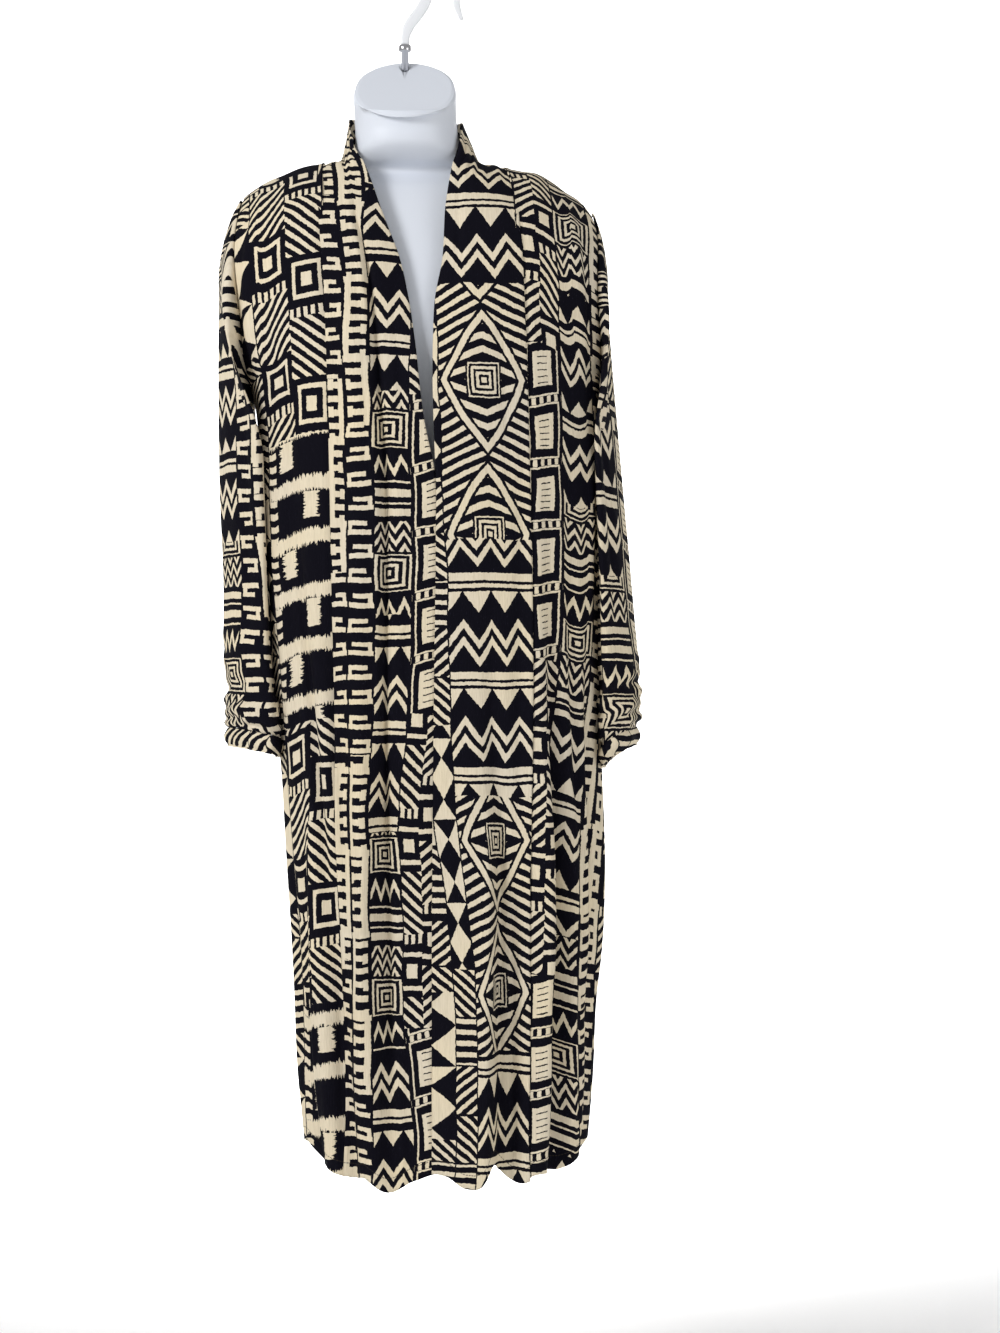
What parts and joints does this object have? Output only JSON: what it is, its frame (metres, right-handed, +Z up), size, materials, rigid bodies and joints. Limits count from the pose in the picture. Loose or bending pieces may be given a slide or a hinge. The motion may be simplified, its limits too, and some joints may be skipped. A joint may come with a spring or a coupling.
{
  "type": "kimono coat on a hanging torso form",
  "caption": "Long open-front kimono coat in printed crepe with a wide band, straight sleeves and turned cuffs, worn on a limbless white torso form that hangs by its hook.",
  "frame": {"origin": "where a level rod bears on the inner top of the form's hook", "axes": "+X to the viewer's right, +Y away from the viewer towards the coat's back, +Z up; the coat's front faces -Y"},
  "size_m": [0.4735, 0.2441, 1.3612],
  "materials": {
    "crepe_print_back": "crinkled crepe, black and cream print",
    "crepe_print_front_left": "crinkled crepe, black and cream print",
    "crepe_print_front_right": "crinkled crepe, black and cream print",
    "crepe_print_band_left": "crinkled crepe, black and cream print",
    "crepe_print_band_right": "crinkled crepe, black and cream print",
    "crepe_print_sleeve_left": "crinkled crepe, black and cream print",
    "crepe_print_sleeve_right": "crinkled crepe, black and cream print",
    "crepe_print_cuff_left": "crinkled crepe, black and cream print",
    "crepe_print_cuff_right": "crinkled crepe, black and cream print",
    "white_plastic_form": "smooth satin",
    "plated_swivel": "polished",
    "white_plastic_hook": "smooth"
  },
  "bodies": {
    "root": {"back": "crepe_print_back", "front_left": "crepe_print_front_left", "front_right": "crepe_print_front_right", "band_left": "crepe_print_band_left", "band_right": "crepe_print_band_right", "sleeve_left": "crepe_print_sleeve_left", "sleeve_right": "crepe_print_sleeve_right", "cuff_left": "crepe_print_cuff_left", "cuff_right": "crepe_print_cuff_right", "torso_form": "white_plastic_form", "hook_swivel": "plated_swivel", "hook": "white_plastic_hook"}
  },
  "joints": []
}
